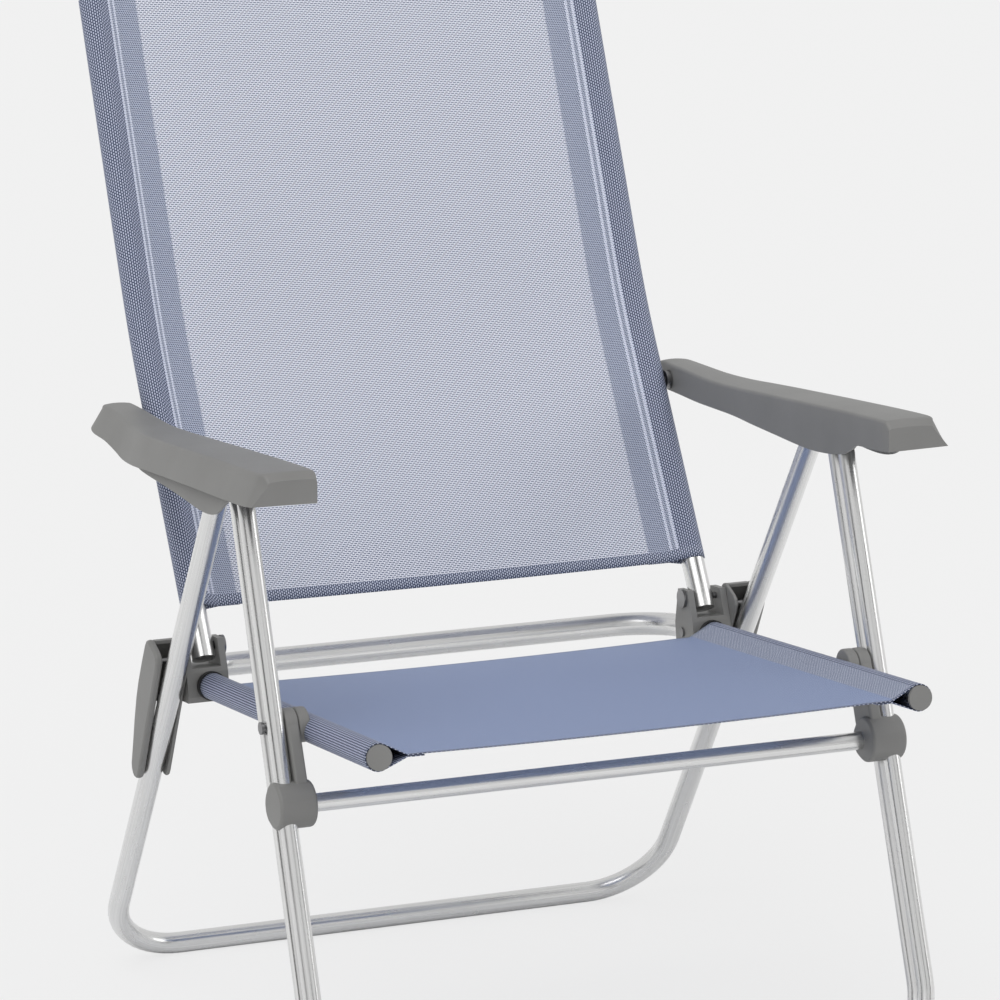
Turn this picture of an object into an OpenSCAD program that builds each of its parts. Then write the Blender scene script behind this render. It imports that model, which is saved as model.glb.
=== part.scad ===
// Folding beach chair: aluminium tube frame, mesh seat and back, moulded arms.
// X runs across the chair, the sitter faces -Y, Z is up. The origin is on the
// floor, in the middle of the open chair's length. Heights and fore-aft places
// are those of the open chair at its most upright setting.

/* [Tubes] */
// Outer diameter of the seat and back tube
tube_d = 22; // [18:0.5:25]
// Wall of the round tubes
tube_wall = 1.2; // [0.8:0.1:2]
// Outer diameter of the rear leg tube
rear_tube_d = 20; // [16:0.5:20.5]
// Diameter of each lobe of the front leg tube
lobe_d = 15; // [12:0.5:16]
// Distance between the two lobe centres of the front leg tube
lobe_gap = 20; // [14:0.5:20]
// Thickness of the front leg tube in its groove
groove_w = 9.5; // [6:0.5:11]
// Outer diameter of the stretcher bar between the front legs
stretcher_d = 16; // [12:0.5:18]

/* [Frame widths] */
// Half distance between the seat tube centres
seat_half_w = 250; // [215:1:252]
// Half distance between the leg centres
leg_gap = 36; // [36:0.5:44]

/* [Side view] */
// Height of the leg hinge above the floor
hinge_h = 556; // [480:1:640]
// Lean of the front legs from upright
front_tilt = 21.1; // [16:0.1:24]
// Lean of the rear legs from upright
rear_tilt = 33.7; // [28:0.1:38]
// Distance of the leg hinge behind the front leg's centre line
hinge_back = 34; // [32:0.5:38]
// Height of the seat pivot above the floor
seat_pivot_h = 353; // [310:1:380]
// Slope of the seat down towards the back
seat_slope = 5.7; // [2:0.1:9]
// Length of seat arm in front of the seat pivot
seat_front = 161; // [130:1:190]
// Length of seat arm from the seat pivot back to the crossbar
seat_rear = 374; // [340:1:420]
// Bend radius at the rear corners of the seat frame
seat_bend_r = 60; // [48:1:62]

/* [Back frame] */
// Lean of the lower part of the back from upright
back_lean = 31.7; // [22:0.1:36]
// Length of the back tube from its pivot to the waist bend
back_lower = 307; // [280:1:330]
// How much the waist bend stands the back up
waist_angle = 7.3; // [4:0.1:9]
// Length from the waist bend to the top bar
back_upper = 390; // [330:1:430]
// Bend radius of the top corners
top_bend_r = 62; // [50:1:80]

/* [Armrests] */
// Height of the armrest pivot on the back above the floor
arm_pivot_h = 540; // [500:1:560]
// Wall of the moulded armrest
arm_wall = 3; // [2:0.1:3.5]
// Number of reclining notches under each armrest
notches = 7; // [5:1:8]

/* [Fabric] */
// Distance from the tube centre to the outside of the fabric sleeve
sleeve_r = 12.2; // [11.8:0.1:12.2]
// Thickness of the stretched fabric between the tubes
panel_t = 3; // [2:0.5:4]

/* [Hidden] */
$fn = 48;

// Clearances and small fittings
fit = 0.3;                          // gap between pieces that only lie together
pin_gap = 0.05;                     // running gap of a pin in its hole
eps = 0.01;
pin_d = 6;
bush_d = 8;
head_d = 11;
head_t = 3;
cap_t = 3;

// Half widths
leg_half_w = seat_half_w + leg_gap;
back_half_w = seat_half_w;

// Side view: unit steps along the legs, going down
function down(a) = [sin(a), -cos(a)];
front_step = down(-front_tilt);
rear_step = down(rear_tilt);
seat_step = [cos(seat_slope), -sin(seat_slope)];
floor_rise_front = lobe_gap / 2 * sin(front_tilt) + lobe_d / 2;
floor_rise_rear = rear_tube_d / 2;
front_leg_l = (hinge_h + hinge_back * sin(front_tilt) - floor_rise_front) / cos(front_tilt);
rear_leg_l = (hinge_h - floor_rise_rear) / cos(rear_tilt);

// The seat pivot is the zero of the side view before the whole chair is centred
pivot_lift = 5;                     // seat pivot above the seat tube's centre
function at_front(z) = [(z - seat_pivot_h) * tan(front_tilt), z];
hinge_raw = at_front(hinge_h) + [hinge_back / cos(front_tilt), 0];
seat_axis_raw = [0, seat_pivot_h] - pivot_lift * [sin(seat_slope), cos(seat_slope)];
bracket_back = 290;                 // seat pivot to back pivot, along the seat
bracket_rise = 33;                  // back pivot above the seat tube's centre
back_pivot_raw = seat_axis_raw + bracket_back * seat_step
  + bracket_rise * [sin(seat_slope), cos(seat_slope)];
cap_face_raw = seat_axis_raw[0] - (seat_front + cap_t) * cos(seat_slope)
  - tube_d / 2 * sin(seat_slope);
waist_lean = back_lean - waist_angle;
function up(a) = [sin(a), cos(a)];
top_bar_raw = back_pivot_raw + back_lower * up(back_lean) + back_upper * up(waist_lean);
centre_y = (cap_face_raw + top_bar_raw[0] + tube_d / 2) / 2;

// Places in the finished frame
hinge = hinge_raw - [centre_y, 0];
seat_pivot = [-centre_y, seat_pivot_h];
seat_axis = seat_axis_raw - [centre_y, 0];
back_pivot = back_pivot_raw - [centre_y, 0];
stretcher_drop = 68;                // seat pivot down to the stretcher, along the leg
stretcher = seat_pivot + stretcher_drop * front_step;
link_drop = 386.5;                  // leg hinge down to the link rivet, along the leg
link_low = hinge + link_drop * rear_step;
link_high = back_pivot + [-10.5, -7];
arm_rise = (arm_pivot_h - back_pivot[1]) / cos(back_lean);
arm_pivot = back_pivot + arm_rise * up(back_lean);

// Hinge bracket sizes across the chair
cheek_t = 6;
cheek_in = 232 - 250;               // inner cheek face from the tube centre
bracket_out = 21.5;                 // outer face of the bracket from the tube centre

module both() { children(); mirror([1, 0, 0]) children(); }
module at(p, x = 0) { translate([x, p[0], p[1]]) children(); }
module left() { mirror([1, 0, 0]) children(); }

// A pin along X, from x1 to x2
module pin(p, x1, x2, d) { at(p, x1) rotate([0, 90, 0]) cylinder(h = x2 - x1, d = d); }

// A flat shape drawn in the side view, given thickness from x1 to x2
module slab(x1, x2) {
  translate([x1, 0, 0]) rotate([90, 0, 90]) linear_extrude(x2 - x1) children();
}

// Tube outline: one round lobe, or two with a web between them
module outline(d, gap, web) {
  if (gap == 0) circle(d = d);
  else {
    for (s = [-1, 1]) translate([0, s * gap / 2]) circle(d = d);
    square([web, gap], center = true);
  }
}
module section(d, wall, gap, web) {
  difference() {
    outline(d, gap, web);
    outline(d - 2 * wall, gap, web - 2 * wall);
  }
}
module run(l, d, wall = tube_wall, gap = 0, web = 0) { linear_extrude(l) section(d, wall, gap, web); }
// A bend that starts upwards and turns towards -X, with its children at its end
module bend(r, a, d, wall = tube_wall, gap = 0, web = 0) {
  translate([-r, 0, 0]) rotate([90, 0, 0])
    rotate_extrude(angle = a, $fn = 96) translate([r, 0]) section(d, wall, gap, web);
  translate([-r, 0, 0]) rotate([0, -a, 0]) translate([r, 0, 0]) children();
}
// A U-shaped frame: its bar lies across, its arms stand up
module u_frame(half_w, r, arm, d, gap = 0, web = 0) {
  both() rotate([0, 90, 0]) {
    run(half_w - r, d, tube_wall, gap, web);
    translate([0, 0, half_w - r]) bend(r, 90, d, tube_wall, gap, web)
      run(arm - r, d, tube_wall, gap, web);
  }
}

/* Front legs, the base of the tree */
leg_bend_r = 80;
front_cut = 14;                     // leg tube stops below the hinge's height
front_tube_l = front_leg_l - front_cut;
module on_front_leg() {
  at(at_front(floor_rise_front) - [centre_y, 0]) rotate([-front_tilt, 0, 0]) children();
}
module front_leg_frame() {
  color("silver") difference() {
    on_front_leg() u_frame(leg_half_w, leg_bend_r, front_tube_l, lobe_d, lobe_gap, groove_w);
    both() pin(seat_pivot, leg_half_w - lobe_d, leg_half_w + lobe_d, pin_d + 2 * pin_gap);
  }
}

// The knuckle closes the top of a front leg and holds the hinge pin between two ears
ear_t = 4;
ear_in = rear_tube_d / 2 + 0.8;
ear_r = 7.5;
knuckle_top = 9;
pin_over = 2.7;                     // pin end beyond the ear, where the rack rides on it
module knuckle() {
  difference() {
    union() {
      on_front_leg() translate([leg_half_w, 0, front_tube_l])
        linear_extrude(knuckle_top) outline(lobe_d, lobe_gap, lobe_d);
      on_front_leg() translate([leg_half_w, 0, front_tube_l - 24])
        linear_extrude(24 + eps)
          outline(lobe_d - 2 * tube_wall - 2 * pin_gap, lobe_gap, groove_w - 2 * tube_wall - 2 * pin_gap);
      on_front_leg() for (s = [-1, 1])
        translate([leg_half_w + s * (ear_in + ear_t / 2), lobe_gap / 4, front_tube_l + knuckle_top / 2])
          cube([ear_t, lobe_gap / 2 + lobe_d, knuckle_top], center = true);
      on_front_leg() translate([leg_half_w, -lobe_gap / 4, front_tube_l + knuckle_top / 2])
        cube([2 * (ear_in + ear_t), lobe_gap / 2, knuckle_top], center = true);
      for (s = [-1, 1]) {
        slab(leg_half_w + s * (ear_in + ear_t / 2) - ear_t / 2,
             leg_half_w + s * (ear_in + ear_t / 2) + ear_t / 2) {
          translate(hinge) circle(r = ear_r);
          translate(hinge) rotate(-front_tilt) translate([-hinge_back + lobe_gap / 2, -ear_r / 2 - 2])
            square([hinge_back - lobe_gap / 2, ear_r + 2]);
        }
      }
    }
    pin(hinge, leg_half_w - 40, leg_half_w + 40, pin_d + 2 * pin_gap);
  }
}
module leg_knuckle_right() { color("dimgray") knuckle(); }
module leg_knuckle_left() { color("dimgray") left() knuckle(); }

module leg_hinge_pins() {
  color("gainsboro") both() {
    pin(hinge, leg_half_w - ear_in - ear_t - pin_over, leg_half_w + ear_in + ear_t + pin_over, pin_d);
  }
}

// Stretcher and the leg brackets that carry it
strap_in = 19.5;                    // inner face of the strap from the leg centre
cup_r = 19;
cup_in = 23.5;
cup_out = 6;
pocket = 7;
module stretcher_bar() {
  half_l = leg_half_w - cup_in + pocket;
  color("silver") at(stretcher, -half_l) rotate([0, 90, 0]) run(2 * half_l, stretcher_d);
}
module leg_hole(grow) {
  on_front_leg() translate([leg_half_w, 0, 200]) linear_extrude(300)
    outline(lobe_d + 2 * grow, lobe_gap, lobe_d + 2 * grow);
}
module leg_bracket() {
  strap_d = lobe_gap + lobe_d;
  top_r = 15;
  difference() {
    union() {
      // Strap beside and in front of the leg
      slab(leg_half_w - strap_in, leg_half_w + 3) {
        translate(stretcher) rotate(-front_tilt)
          translate([-strap_d / 2 - 3, 0]) square([strap_d - 1, stretcher_drop]);
        translate(seat_pivot) rotate(-front_tilt)
          translate([-strap_d / 2 - 3, -1]) square([strap_d - 1, top_r - 5]);
      }
      pin(seat_pivot, leg_half_w - strap_in, leg_half_w - lobe_d / 2 - fit, 2 * top_r);
      // Cup that holds the stretcher
      pin(stretcher, leg_half_w - cup_in, leg_half_w + cup_out, 2 * cup_r);
    }
    leg_hole(fit);
    // Ribbed pocket on the inner side of the cup
    difference() {
      pin(stretcher, leg_half_w - cup_in - 1, leg_half_w - cup_in + pocket, 2 * cup_r - 6);
      pin(stretcher, leg_half_w - cup_in - 2, leg_half_w - cup_in + pocket + 1, stretcher_d + 5);
      for (a = [22.5:45:179]) at(stretcher, leg_half_w - cup_in + pocket / 2)
        rotate([a, 0, 0]) cube([pocket + 4, 2 * cup_r, 1.6], center = true);
    }
    pin(stretcher, leg_half_w - cup_in - 2, leg_half_w - cup_in + pocket, stretcher_d + 2 * pin_gap);
    pin(seat_pivot, leg_half_w - 40, leg_half_w + 40, pin_d + 2 * pin_gap);
  }
}
module leg_bracket_right() { color("gray") leg_bracket(); }
module leg_bracket_left() { color("gray") left() leg_bracket(); }

module seat_pivot_rivets() {
  color("silver") both() {
    pin(seat_pivot, seat_half_w + tube_d / 2 + fit, leg_half_w + lobe_d / 2 + fit, pin_d);
    pin(seat_pivot, leg_half_w + lobe_d / 2 + fit, leg_half_w + lobe_d / 2 + fit + head_t, head_d);
  }
}

/* Rear legs */
rear_bend_r = 72;
rear_over = 7;                      // tube end beyond the hinge
module on_rear_leg() {
  at(hinge + rear_leg_l * rear_step) rotate([rear_tilt, 0, 0]) children();
}
module rear_leg_frame() {
  color("silver") difference() {
    on_rear_leg() u_frame(leg_half_w, rear_bend_r, rear_leg_l + rear_over, rear_tube_d);
    both() pin(hinge, leg_half_w - 20, leg_half_w + 20, bush_d + 2 * pin_gap);
    both() pin(link_low, leg_half_w - 20, leg_half_w + 20, pin_d + 2 * pin_gap);
  }
}
module rear_leg_bushes() {
  color("black") both() difference() {
    pin(hinge, leg_half_w - rear_tube_d / 2 - 0.4, leg_half_w + rear_tube_d / 2 + 0.4, bush_d);
    pin(hinge, leg_half_w - 20, leg_half_w + 20, pin_d + 2 * pin_gap);
  }
}

/* Links between the rear legs and the seat brackets */
link_t = 3.2;
link_in = rear_tube_d / 2 + 0.8;
module link_rivets() {
  color("silver") both() {
    pin(link_low, leg_half_w - link_in - link_t, leg_half_w + link_in + link_t + 2, pin_d);
  }
}
module link_outline() {
  // Tapered plate: narrow and round at the rivet, wide and square at the top
  low_r = 11;
  translate(link_low) circle(r = low_r);
  translate(link_low) rotate(atan2(link_high[1] - link_low[1], link_high[0] - link_low[0]) - 90)
    polygon([[-low_r, 0], [low_r - 0.5, -3], [19, 45], [21, 75], [17, 132], [13, 138], [-15, 136],
      [-18, 132], [-17, 112]]);
}
module link_shell() {
  l = leg_half_w;
  difference() {
    slab(l - link_in - link_t, l + link_in + link_t) link_outline();
    // Channel for the leg, open to the front, with a closed back in the upper half
    at(link_low) rotate([rear_tilt, 0, 0])
      translate([l - link_in, -60, -40]) cube([2 * link_in, 60 + rear_tube_d / 2 + 1, 260]);
    at(link_low) rotate([rear_tilt, 0, 0])
      translate([l - link_in, -60, -40]) cube([2 * link_in, 130, 40 + 50]);
    pin(link_low, l - 30, l + 30, pin_d + 2 * pin_gap);
    pin(link_high, l - 30, l + 30, pin_d + 2 * pin_gap);
  }
}
module link_right() { color("gray") link_shell(); }
module link_left() { color("gray") left() link_shell(); }
module link_stud() {
  pin(link_high, leg_half_w - link_in - link_t + fit, leg_half_w + link_in + link_t, pin_d);
}
module link_studs_right() { color("silver") link_stud(); }
module link_studs_left() { color("silver") left() link_stud(); }

/* Seat */
module on_seat() {
  at(seat_axis) rotate([90 - seat_slope, 0, 0]) children();
}
module seat_frame() {
  color("silver") difference() {
    on_seat() translate([0, 0, -seat_rear])
      u_frame(seat_half_w, seat_bend_r, seat_rear + seat_front, tube_d);
    both() pin(rivet_low, seat_half_w - 20, seat_half_w + 20, 5);
  }
}
module seat_end_caps() {
  color("gray") both() on_seat() translate([seat_half_w, 0, seat_front]) {
    cylinder(h = cap_t, d = tube_d);
    translate([0, 0, -12]) cylinder(h = 12, d = tube_d - 2 * tube_wall - 2 * pin_gap);
  }
}
boss_d = 31;
module seat_boss() {
  difference() {
    pin(seat_pivot, seat_half_w + 2, leg_half_w - strap_in - fit, boss_d);
    on_seat() translate([seat_half_w, 0, -60]) cylinder(h = 120, r = tube_d / 2 + pin_gap);
    pin(seat_pivot, seat_half_w, leg_half_w, pin_d + 2 * pin_gap);
  }
}
module seat_boss_right() { color("gray") seat_boss(); }
module seat_boss_left() { color("gray") left() seat_boss(); }

// Hinge bracket: two cheeks over the seat tube, with the back tube between them
rivet_low = seat_axis + (bracket_back + 4) * seat_step;
function on_seat_line(along, rise) = seat_axis + along * seat_step
  + rise * [sin(seat_slope), cos(seat_slope)];
module bracket_outline() {
  polygon([on_seat_line(bracket_back - 20, -15), on_seat_line(bracket_back + 17, -15),
    on_seat_line(bracket_back + 20, -11), on_seat_line(bracket_back + 21, 8),
    on_seat_line(bracket_back + 12, bracket_rise + 8), on_seat_line(bracket_back - 10, bracket_rise + 8),
    on_seat_line(bracket_back - 19, 12), on_seat_line(bracket_back - 22, -10)]);
}
module hinge_bracket() {
  s = seat_half_w;
  difference() {
    union() {
      slab(s - 18, s - 18 + cheek_t) bracket_outline();
      slab(s + bracket_out - cheek_t, s + bracket_out) bracket_outline();
      slab(s - 18, s + bracket_out) intersection() {
        bracket_outline();
        translate(on_seat_line(bracket_back, 0)) rotate(-seat_slope)
          translate([-40, -16]) square([80, 32]);
      }
    }
    on_seat() translate([s, 0, -bracket_back - 60]) cylinder(h = 120, r = tube_d / 2 + pin_gap);
    pin(back_pivot, s - 40, s + 40, pin_d + 2 * pin_gap);
    pin(rivet_low, s - 40, s + 40, 5 + 2 * pin_gap);
  }
}
module hinge_bracket_right() { color("gray") hinge_bracket(); }
module hinge_bracket_left() { color("gray") left() hinge_bracket(); }
module bracket_collars() {
  color("black") both() on_seat() translate([seat_half_w, 0, -bracket_back + 22 + fit]) difference() {
    cylinder(h = 5, r = sleeve_r + 1.2);
    translate([0, 0, -1]) cylinder(h = 7, r = tube_d / 2 + pin_gap);
  }
}
module bracket_rivets() {
  color("silver") both() {
    pin(rivet_low, seat_half_w - 20, seat_half_w + bracket_out, 5);
    pin(rivet_low, seat_half_w - 18 - 2, seat_half_w - 18, 9);
  }
}

// Sleeve of fabric round a tube
sleeve_gap = 0.15;                  // slack of a sleeve round its tube
sleeve_wall = sleeve_r - tube_d / 2 - sleeve_gap;
sheet_half_w = seat_half_w - tube_d / 2 - sleeve_wall / 3;
module seat_fabric() {
  start = -bracket_back + 22 + fit + 5 + fit;
  color("steelblue") difference() {
    on_seat() translate([0, 0, start]) {
      both() translate([seat_half_w, 0, 0]) run(seat_front - start, 2 * sleeve_r, sleeve_wall);
      translate([-sheet_half_w, 2 - panel_t / 2, 0]) cube([2 * sheet_half_w, panel_t, seat_front - start]);
    }
    // Cut-outs in the sleeves for the bosses
    both() pin(seat_pivot, seat_half_w - 6, leg_half_w, boss_d + 2 * fit);
  }
}

/* Back */
bush_proud = 0.6;                   // how far a bush stands out of the back tube
pivot_head_d = 18;
module back_pivot_rivets() {
  color("silver") both() {
    pin(back_pivot, seat_half_w - 20, seat_half_w + bracket_out, pin_d);
    pin(back_pivot, seat_half_w - 18 - head_t, seat_half_w - 18, pivot_head_d);
  }
}
back_tail = 12;                     // tube below the back pivot
bend_lap = 6;                       // how far the straights run into the waist bend
module back_frame() {
  color("silver") difference() {
    at(back_pivot) rotate([-back_lean, 0, 0]) {
      both() translate([back_half_w, 0, -back_tail]) run(back_lower + back_tail + bend_lap, tube_d);
      translate([0, 0, back_lower]) rotate([waist_angle, 0, 0])
        translate([0, 0, back_upper]) mirror([0, 0, 1])
          u_frame(back_half_w, top_bend_r, back_upper + bend_lap, tube_d);
    }
    both() pin(back_pivot, back_half_w - 20, back_half_w + 20, bush_d + 2 * pin_gap);
    both() pin(arm_pivot, back_half_w - 20, back_half_w + 20, pin_d + 2 * pin_gap);
  }
}
module back_pivot_bushes() {
  color("black") both() difference() {
    pin(back_pivot, back_half_w - tube_d / 2 - bush_proud, back_half_w + tube_d / 2 + bush_proud, bush_d);
    pin(back_pivot, back_half_w - 20, back_half_w + 20, pin_d + 2 * pin_gap);
  }
}
fabric_low = 37;                    // back pivot to the bottom hem
sheet_back = 1;
sleeve_lap = bend_lap + 1;
// Rods along both back tubes, from the bottom hem to the top corners, longer by more at each end
module back_rods(d, more) {
  at(back_pivot) rotate([-back_lean, 0, 0]) both() translate([back_half_w, 0, 0]) {
    translate([0, 0, fabric_low - more]) cylinder(h = back_lower - fabric_low + more + sleeve_lap, d = d);
    translate([0, 0, back_lower]) rotate([waist_angle, 0, 0]) translate([0, 0, -sleeve_lap])
      cylinder(h = back_upper - top_bend_r + sleeve_lap + more, d = d);
  }
}
module back_sheet(l) {
  translate([-sheet_half_w, -panel_t / 2 - sheet_back, 0]) cube([2 * sheet_half_w, panel_t, l]);
}
module back_fabric() {
  overlap = 0.5;
  sleeve_top = back_upper - top_bend_r;
  color("lightsteelblue") difference() {
    union() {
      back_rods(2 * sleeve_r, 0);
      at(back_pivot) rotate([-back_lean, 0, 0]) translate([0, 0, back_lower])
        rotate([waist_angle, 0, 0]) back_sheet(sleeve_top);
      at(back_pivot) rotate([-back_lean, 0, 0])
        translate([0, 0, fabric_low]) back_sheet(back_lower - fabric_low + overlap);
    }
    back_rods(tube_d + 2 * sleeve_gap, 1);
    // Cut-outs in the sleeves for the armrest pivots
    both() pin(arm_pivot, back_half_w + 2, leg_half_w, 18);
  }
}

/* Armrests */
arm_in_x = leg_half_w - 18;         // inner face at the back end
arm_rivet_in = back_half_w + sleeve_r + fit;
shoulder_d = 18;
// Shoulder rivet: its shoulder keeps the armrest off the back tube
module armrest_rivet() {
  pin(arm_pivot, back_half_w - 8, arm_in_x + 5, pin_d);
  pin(arm_pivot, arm_rivet_in, arm_in_x - 2 * fit, shoulder_d);
  pin(arm_pivot, arm_in_x + 5, arm_in_x + 7.5, head_d + 3);
}
module armrest_rivet_right() { color("silver") armrest_rivet(); }
module armrest_rivet_left() { color("silver") left() armrest_rivet(); }

// Side view of the armrest, measured from its pivot, front towards -Y
function arm(y, z) = arm_pivot + [y, z];
arm_tip = -470;
module arm_side(wall) {
  polygon([arm(22 - wall, -8), arm(22 - wall, 8 - wall), arm(14 - wall, 14 - wall),
    arm(-140, 16 - wall), arm(-210, 29 - wall), arm(-380, 41 - wall),
    arm(arm_tip + 8 + wall, 48 - wall), arm(arm_tip + wall, 44 - wall), arm(arm_tip + wall, 28),
    arm(-408, 4), arm(-380, -2), arm(-330, -6), arm(-290, -5), arm(-180, -8), arm(-110, -11),
    arm(0, -11), arm(16 - wall, -11)]);
}
module arm_plan(wall) {
  back_out = leg_half_w + 13;
  front_out = leg_half_w + 29;
  front_in = leg_half_w - 22;
  p = arm_pivot[0];
  polygon([[arm_in_x + wall, p + 24 - wall], [back_out - 6, p + 24 - wall],
    [back_out - wall, p + 16 - wall], [back_out + 1 - wall, p - 80], [back_out + 8 - wall, p - 130],
    [front_out - 3 - wall, p - 240], [front_out - wall, p - 440], [front_out - 10, p + arm_tip + wall],
    [front_in + 10, p + arm_tip + wall], [front_in + wall, p - 455], [front_in + 1 + wall, p - 250]]);
}
module arm_shell() {
  difference() {
    intersection() {
      slab(arm_in_x - 20, leg_half_w + 60) arm_side(0);
      translate([0, 0, arm_pivot[1] - 40]) linear_extrude(120) arm_plan(0);
    }
    intersection() {
      slab(arm_in_x - 20, leg_half_w + 60) {
        arm_side(arm_wall);
        polygon([arm(16 - arm_wall, -9), arm(16 - arm_wall, -20), arm(arm_tip + arm_wall, -20),
          arm(arm_tip + arm_wall, 29), arm(-408, 12), arm(-290, 4)]);
      }
      translate([0, 0, arm_pivot[1] - 60]) linear_extrude(160) arm_plan(arm_wall);
    }
    pin(arm_pivot, back_half_w, arm_in_x + 20, pin_d + 2 * pin_gap);
  }
}
module armrest_right() { color("gray") arm_shell(); }
module armrest_left() { color("gray") left() arm_shell(); }

// Rack of notches: two rails under the armrest's top, over the ends of the hinge pin
pin_run = norm(hinge - arm_pivot);
pin_rise = asin((hinge[1] - arm_pivot[1]) / pin_run);
notch_pitch = 16;
tooth = 3;
tooth_tip = pin_d / 2 + 0.8;        // height of the teeth over the pin's centre
tooth_root = 9;
rail_top = 15.2;
rail_in = ear_in + ear_t + 0.6;
module rail_side() {
  l = notches * notch_pitch;
  translate(arm_pivot) rotate(180 - pin_rise) {
    for (i = [0:notches]) translate([pin_run + (i - 0.5) * notch_pitch - tooth / 2, -tooth_root - 1])
      square([tooth, tooth_root + 1 - tooth_tip]);
    translate([pin_run - notch_pitch / 2 - tooth / 2, 0])
      polygon([[0, -tooth_root], [0, -rail_top], [l + tooth, -rail_top - 1.2], [l + tooth, -tooth_root]]);
  }
}
module rack() {
  slab(leg_half_w - rail_in - 2.1, leg_half_w - rail_in) rail_side();
  slab(leg_half_w + rail_in, leg_half_w + rail_in + 3.4) rail_side();
}
module armrest_rack_right() { color("black") rack(); }
module armrest_rack_left() { color("black") left() rack(); }

front_leg_frame();
leg_knuckle_left();
leg_knuckle_right();
leg_hinge_pins();
stretcher_bar();
leg_bracket_left();
leg_bracket_right();
seat_pivot_rivets();
rear_leg_frame();
rear_leg_bushes();
link_rivets();
link_left();
link_right();
link_studs_left();
link_studs_right();
seat_frame();
seat_end_caps();
seat_boss_left();
seat_boss_right();
hinge_bracket_left();
hinge_bracket_right();
bracket_collars();
bracket_rivets();
seat_fabric();
back_pivot_rivets();
back_frame();
back_pivot_bushes();
back_fabric();
armrest_rivet_left();
armrest_rivet_right();
armrest_left();
armrest_right();
armrest_rack_left();
armrest_rack_right();
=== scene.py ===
# %% [markdown]
# # A folding beach chair: tube frame, mesh panels and moulded arms
#
# The engineering model gives the chair's measurements, its joints and its
# small pins. This lesson gives it its looks: polished tubes drawn along their
# real paths, cloth with sleeves round the tubes, and soft-edged mouldings.

# %% Load the frame
import bpy, bmesh, math, random
from math import sin, cos, tan, radians, pi
from mathutils import Vector, Matrix


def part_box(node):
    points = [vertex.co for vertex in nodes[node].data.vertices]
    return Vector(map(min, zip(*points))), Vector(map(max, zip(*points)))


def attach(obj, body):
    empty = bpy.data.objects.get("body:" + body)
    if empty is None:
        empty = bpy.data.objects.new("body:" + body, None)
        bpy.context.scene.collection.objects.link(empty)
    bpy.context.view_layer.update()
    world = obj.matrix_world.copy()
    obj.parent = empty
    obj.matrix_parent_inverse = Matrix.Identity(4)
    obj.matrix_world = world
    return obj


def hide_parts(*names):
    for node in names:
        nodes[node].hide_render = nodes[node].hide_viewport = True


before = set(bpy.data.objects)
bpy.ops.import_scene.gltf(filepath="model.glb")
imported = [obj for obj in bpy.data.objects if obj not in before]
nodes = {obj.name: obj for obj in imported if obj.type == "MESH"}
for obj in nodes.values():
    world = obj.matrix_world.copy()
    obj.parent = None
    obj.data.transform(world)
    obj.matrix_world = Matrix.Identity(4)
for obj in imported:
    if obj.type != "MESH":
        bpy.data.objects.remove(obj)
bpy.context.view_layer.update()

# %% [markdown]
# The camera comes first, so that every piece can be judged from the same place.
# It stands well back with a long lens, a little above the seat.

# %% Camera
AZIMUTH, ELEVATION = radians(-22.51), radians(12.56)
camera = bpy.data.objects.new("camera", bpy.data.cameras.new("camera"))
bpy.context.scene.collection.objects.link(camera)
camera.location = (-1.6044, -3.9551, 1.4308)
camera.rotation_euler = (pi / 2 - ELEVATION, 0, AZIMUTH)
camera.data.sensor_width = 36
camera.data.lens = 4.790 * 36
camera.data.shift_x = -0.016
bpy.context.scene.camera = camera

# %% [markdown]
# All heights and depths are read in the side view, from four measured points:
# the leg hinge, the seat pivot, the back pivot and the armrest pivot.

# %% Side view
MM = 0.001
LEG_X, TUBE_X = 0.286, 0.250
FRONT, REAR, SLOPE, LEAN, WAIST = map(radians, (21.1, 33.7, 5.7, 31.7, 7.3))
PIN_T = sum((Vector(c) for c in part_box("leg_hinge_pins")), Vector()) / 2
PIN_S = sum((Vector(c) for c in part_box("seat_pivot_rivets")), Vector()) / 2
PIN_P = sum((Vector(c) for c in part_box("back_pivot_bushes")), Vector()) / 2
PIN_C = sum((Vector(c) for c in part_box("armrest_rivet_right")), Vector()) / 2
PIN_M = sum((Vector(c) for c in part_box("link_rivets")), Vector()) / 2

def side(point, y, z, x=0.0):
    """A point given in millimetres from one of the pins, in the side view."""
    return Vector((x, point.y + y * MM, point.z + z * MM))

def along(start, angle, u, w, x=0.0):
    """u millimetres up a line that leans back by angle, w millimetres in front of it."""
    return side(start, u * sin(angle) - w * cos(angle), u * cos(angle) + w * sin(angle), x)

# %% [markdown]
# ## Materials
# Colours, masks and heights are worked out in small node groups; the shader
# itself stays in the material. Each group is fed with object or UV coordinates.

# %% Node helpers
def group(name, outputs):
    tree = bpy.data.node_groups.new(name, "ShaderNodeTree")
    tree.interface.new_socket(name="Vector", in_out="INPUT", socket_type="NodeSocketVector")
    for n, kind in outputs.items():
        tree.interface.new_socket(name=n, in_out="OUTPUT", socket_type=kind)
    return tree, tree.nodes.new("NodeGroupInput"), tree.nodes.new("NodeGroupOutput")

def add(tree, kind, inputs=None, **settings):
    node = tree.nodes.new(kind)
    for k, v in settings.items():
        setattr(node, k, v)
    for k, v in (inputs or {}).items():
        if hasattr(v, "is_output"):
            tree.links.new(v, node.inputs[k])
        else:
            node.inputs[k].default_value = v
    return node

def ramp(tree, fac, stops):
    node = add(tree, "ShaderNodeValToRGB", {"Fac": fac})
    e = node.color_ramp.elements
    for i, (p, c) in enumerate(stops):
        item = e[i] if i < 2 else e.new(p)
        item.position, item.color = p, (*c, 1)
    return node.outputs["Color"]

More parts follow.
